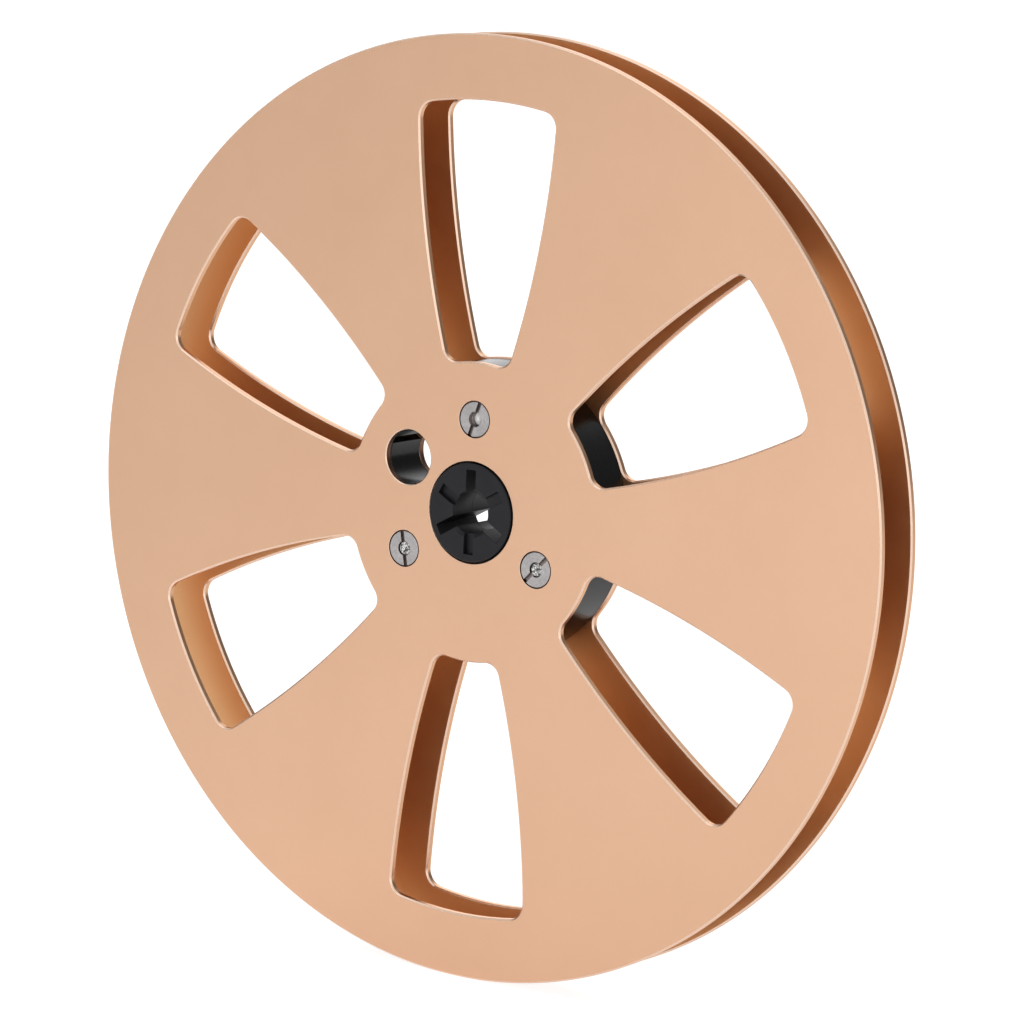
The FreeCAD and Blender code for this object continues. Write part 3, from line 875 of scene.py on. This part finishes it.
def anodised(name, light, dark, rough, grain, coat=0.0):
    """Bead-blasted aluminium under a copper-coloured oxide: fine pits, faint mottling, satin."""
    material, g = new_material(name)
    fine = g.noise(scale=5200.0, detail=3.0, rough=0.65)
    pits = g.noise(scale=11000.0, detail=2.0, rough=0.6)
    cloud = g.noise(scale=38.0, detail=3.0, rough=0.55)
    patch = g.noise(scale=210.0, detail=4.0, rough=0.6)
    cloud_share, patch_share, fine_share = 0.35, 0.2, 0.45
    shade = g.math(
        "ADD",
        g.math("MULTIPLY", g.range(cloud), cloud_share),
        g.math("MULTIPLY", g.range(patch), patch_share),
    )
    shade = g.math("ADD", shade, g.math("MULTIPLY", g.range(fine), fine_share))
    roughness = g.math(
        "ADD",
        g.range(fine, to=(rough - 0.04, rough + 0.04)),
        g.range(patch, to=(-0.02, 0.02)),
    )
    normal = g.bump(pits, strength=0.35 * grain, distance=0.00002)
    normal = g.bump(fine, strength=0.5 * grain, distance=0.00003, normal=normal)
    g.surface({
        "Base Color": g.mix(shade, dark, light),
        "Metallic": 1.0,
        "Roughness": roughness,
        "Normal": normal,
    })
    if coat:  # the clear oxide's own white sheen
        g.surface({"Coat Weight": coat, "Coat Roughness": 0.3, "Coat IOR": 1.6})
    return material


def hub_finish(name):
    """Smooth black, with turning marks that run round the spin axis."""
    material, g = new_material(name)
    fine = g.noise(scale=4200.0, detail=3.0, rough=0.6)
    place = g.node("ShaderNodeSeparateXYZ", inputs={"Vector": g.coord})
    marks = g.turning_marks(place.outputs["Y"], detail=4.0)
    cloud = g.noise(scale=120.0, detail=3.0)
    normal = g.bump(marks, strength=0.06, distance=0.000006)
    dark, light = (0.0025, 0.0026, 0.003, 1), (0.0045, 0.0045, 0.005, 1)
    g.surface({
        "Base Color": g.mix(g.range(cloud), dark, light),
        "Metallic": 0.0,
        "Roughness": g.range(fine, to=(0.2, 0.28)),
        "IOR": 1.33,
        "Normal": g.bump(fine, strength=0.08, distance=0.000006, normal=normal),
    })
    return material


def bush_finish(name):
    """Moulded black plastic with a spark-eroded satin face."""
    material, g = new_material(name)
    fine = g.noise(scale=6500.0, detail=3.0, rough=0.6)
    cloud = g.noise(scale=260.0, detail=3.0)
    dark, light = (0.0055, 0.0056, 0.0074, 1), (0.009, 0.0091, 0.0116, 1)
    g.surface({
        "Base Color": g.mix(g.range(cloud), dark, light),
        "Roughness": g.math(
            "ADD", g.range(fine, to=(0.38, 0.5)), g.range(cloud, to=(-0.03, 0.03))
        ),
        "IOR": 1.35,
        "Normal": g.bump(fine, strength=0.4, distance=0.00002),
    })
    return material


def nickel_finish(name, centre, part="outside", scuffed=False):
    """Turned steel under nickel: rings about the fastener's own axis and a few dull spots.
    part is "outside", "hollows" (slots and threads, mostly darkened to a brown-grey as painted
    shade) or "tip" (the cut end, given a near-white colour as a painted highlight)."""
    material, g = new_material(name)
    local = g.vector("SUBTRACT", g.coord, (centre[0] * MM, 0, centre[1] * MM))
    radius = g.vector("LENGTH", g.vector("MULTIPLY", local, (1, 0, 1)), output="Value")
    wobble = g.math("MULTIPLY", g.noise(scale=900.0, detail=2.0), 0.00002)
    ring = g.turning_marks(g.math("ADD", radius, wobble), detail=3.0)
    spots = g.noise(scale=1500.0, detail=4.0, rough=0.65)
    fine = g.noise(scale=9000.0, detail=2.0)

    if part == "tip":
        # painted highlight: the cut tip gets a near-white base, brighter than bare steel, with
        # its turned rings greyer
        bright, grey = (0.95, 0.95, 0.94, 1), (0.62, 0.61, 0.6, 1)
        colour = g.mix(g.range(ring, over=(0.45, 0.6)), bright, grey)
    else:
        clean, dull = (0.57, 0.54, 0.54, 1), (0.43, 0.41, 0.41, 1)
        colour = g.mix(g.range(spots, over=(0.35, 0.7)), clean, dull)
        groove = (0.2, 0.19, 0.19, 1)
        colour = g.mix(g.range(ring, over=(0.35, 0.65), to=(0.0, 0.55)), colour, groove)
    if part == "hollows":
        # painted shade: the slots and threads are mostly darkened to a brown-grey
        slot_shade = (0.145, 0.115, 0.105, 1)
        colour = g.mix(g.range(spots, over=(0.3, 0.65), to=(0.7, 0.92)), colour, slot_shade)
    extra = 0.22 if part == "tip" else 0.0  # added roughness
    roughness = g.math(
        "ADD",
        g.range(ring, to=(0.2 + extra, 0.34 + extra)),
        g.range(spots, to=(-0.03, 0.08)),
    )
    normal = g.bump(ring, strength=0.8, distance=0.00002)
    normal = g.bump(fine, strength=0.12, distance=0.00001, normal=normal)
    if scuffed:
        scuff = g.noise(scale=2600.0, detail=3.0, rough=0.7)
        colour = g.mix(g.range(scuff, over=(0.44, 0.58)), (0.09, 0.085, 0.08, 1), colour)
        normal = g.bump(scuff, strength=0.7, distance=0.00012, normal=normal)
    g.surface({
        "Base Color": colour,
        "Metallic": 1.0,
        "Roughness": roughness,
        "Normal": normal,
    })
    return material


# In the order of the flange's material slots.
copper = [
    anodised("copper_face", light=(0.77, 0.485, 0.325, 1), dark=(0.71, 0.435, 0.28, 1),
             rough=0.42, grain=1.0, coat=0.22),
    # Chamfers: a smoother cut finish, and a lighter copper that is a painted highlight along the
    # edges.
    anodised("copper_cut_and_highlight", light=(0.86, 0.63, 0.49, 1), dark=(0.79, 0.56, 0.42, 1),
             rough=0.26, grain=0.3, coat=0.5),
    # Window and rim walls: a slightly darker, deeper copper as painted shade.
    anodised("copper_wall_painted_shade", light=(0.75, 0.44, 0.265, 1), dark=(0.67, 0.38, 0.22, 1),
             rough=0.36, grain=0.8),
    # Inner faces between the flanges: a deeper, more saturated copper as painted shade, standing
    # in for the light bounced between the flanges.
    anodised("copper_inner_painted_shade", light=(0.78, 0.445, 0.225, 1), dark=(0.72, 0.4, 0.19, 1),
             rough=0.4, grain=1.0),
    # Bores of the keyhole and the fastener holes: a dark copper as painted shade.
    anodised("copper_bore_painted_shade", light=(0.2, 0.1, 0.06, 1), dark=(0.14, 0.068, 0.04, 1),
             rough=0.34, grain=0.6),
]
hub_black = hub_finish("hub_black")
bush_black = bush_finish("bush_black")


# ------------------------------------------------------------------ pieces
def fit(piece, materials, rides, replaces):
    """Gives a piece its materials and its place in the frame."""
    for material in materials:
        piece.data.materials.append(material)
    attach(piece, rides)
    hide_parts(replaces)


for tag, side in (("front", -1), ("rear", 1)):
    flange = make_flange(tag + "_flange_plate", side)
    fit(flange, copper, "reel", tag + "_flange")
    bush = make_bush(tag + "_bush_moulding", side)
    fit(bush, [bush_black], "reel", tag + "_spindle_bush")

fit(make_hub("hub_drum"), [hub_black], "reel", "hub_core")

# For each fastener: its nut's slot direction, its screw's, the screw's tip height, scuffed tip.
FASTENER_SETTINGS = (
    (71.0, -20.0, 4.4, False),
    (100.0, -64.0, 5.6, True),
    (46.0, 35.0, 5.6, True),
)
for i, (centre, settings) in enumerate(zip(FASTENER_CENTRES, FASTENER_SETTINGS), 1):
    nut_slot, screw_slot, screw_end, scuffed = settings
    nickel = [
        nickel_finish(f"nickel_{i}", centre),
        nickel_finish(f"nickel_hollows_painted_shade_{i}", centre, "hollows"),
        nickel_finish(f"nickel_tip_and_highlight_{i}", centre, "tip", scuffed),
    ]
    nut = make_nut(f"nut_{i}_turned", centre, nut_slot)
    fit(nut, nickel[:2], f"nut_{i}", f"sleeve_nut_{i}")
    screw = make_screw(f"screw_{i}_turned", centre, screw_slot, screw_end)
    fit(screw, nickel, f"screw_{i}", f"clamp_screw_{i}")


# ------------------------------------------------------------------ stage, in metres
def floor_finish(name):
    """Pale to the camera; to the reel a greyer floor whose glow fades towards -X."""
    material, g = new_material(name)
    is_camera = g.node("ShaderNodeLightPath").outputs["Is Camera Ray"]
    grain = g.noise(scale=3.0, detail=3.0)
    paper = g.mix(grain, (0.86, 0.86, 0.86, 1), (0.88, 0.88, 0.88, 1))
    place = g.node("ShaderNodeSeparateXYZ", inputs={"Vector": g.coord})
    glow = g.range(place.outputs["X"], over=(-0.55, -0.1), to=(0.26, 0.42))
    camera_glow = 0.85
    g.surface({
        "Base Color": g.mix(is_camera, (0.4, 0.4, 0.4, 1), paper)
        if False else g.mix(is_camera, paper, (0.4, 0.4, 0.4, 1)),
        "Roughness": 0.85,
        "Emission Color": (1, 1, 1, 1),
        "Emission Strength": g.mix_value(is_camera, glow, camera_glow),
    })
    return material


def make_floor():
    radius, sides = 9, 64
    angles = [i * math.pi / (sides // 2) for i in range(sides)]
    ring = [(radius * math.cos(a), radius * math.sin(a), 0) for a in angles]
    mesh = bpy.data.meshes.new("floor")
    mesh.from_pydata(ring, [], [list(range(sides))])
    floor = bpy.data.objects.new("floor", mesh)
    floor.location = (0, 0, cad_low.z)
    bpy.context.scene.collection.objects.link(floor)
    mesh.materials.append(floor_finish("pale_floor"))


# Soft round panels of light: (direction, degrees from it within which the light is full,
# degrees beyond which there is none, level).
PANELS = (
    ((0.16, -0.98, -0.16), 15, 59, 0.72),
    ((0.80, -0.58, -0.1), 14, 36, 1.0),
    ((0.45, -0.5, 0.74), 14, 36, 0.75),
    ((-0.45, -0.15, 0.85), 18, 46, 0.6),
    ((-0.5, 0.8, 0.33), 18, 50, 1.5),
)
AMBIENT = 0.19


def make_world():
    """White to the camera. To everything else a dim tent with the bright panels."""
    world = bpy.data.worlds.new("studio")
    bpy.context.scene.world = world
    world.use_nodes = True
    g = Graph(world.node_tree, "Generated")
    light = None
    for direction, full, none, level in PANELS:
        aim = Vector(direction).normalized()
        panel = g.range(
            g.vector("DOT_PRODUCT", g.coord, aim, output="Value"),
            over=(math.cos(math.radians(none)), math.cos(math.radians(full))),
            to=(0.0, level),
            interpolation="SMOOTHERSTEP",
        )
        light = g.math("ADD", light, panel) if light else panel
    light = g.math("ADD", light, AMBIENT)
    is_camera = g.node("ShaderNodeLightPath").outputs["Is Camera Ray"]
    background = world.node_tree.nodes["Background"]
    g.feed(background.inputs["Strength"], g.mix_value(is_camera, light, 1.0))
    g.feed(background.inputs["Color"], (1, 1, 1, 1))


def softbox(name, place, size, power):
    """A square area light aimed at the origin."""
    data = bpy.data.lights.new(name, "AREA")
    data.shape = "RECTANGLE"
    data.size = data.size_y = size
    data.energy = power
    light = bpy.data.objects.new(name, data)
    light.location = place
    light.rotation_mode = "QUATERNION"
    light.rotation_quaternion = (Vector((0, 0, 0)) - Vector(place)).to_track_quat("-Z", "Y")
    light.visible_camera = False
    bpy.context.scene.collection.objects.link(light)


def make_camera():
    data = bpy.data.cameras.new("camera")
    camera = bpy.data.objects.new("camera", data)
    bpy.context.scene.collection.objects.link(camera)
    data.sensor_width = 36.0
    data.lens = 158.20524573
    data.clip_start, data.clip_end = 0.01, 50.0
    # columns: the camera's right, its up, the way behind it, and its place
    camera.matrix_world = Matrix((
        (0.812301433, -0.127624409, 0.569103147, 0.48333909),
        (0.581772971, 0.108188035, -0.806123787, -0.67730915),
        (0.04131092, 0.985904336, 0.162129727, 0.13637244),
        (0, 0, 0, 1),
    ))
    bpy.context.scene.camera = camera


make_floor()
make_world()
softbox("key", place=(-0.3, -2.15, 0.12), size=0.9, power=6.0)
softbox("top", place=(-0.3, -0.6, 1.8), size=1.2, power=2.0)
make_camera()
bpy.context.scene.view_settings.view_transform = "Standard"
bpy.context.scene.view_settings.look = "None"
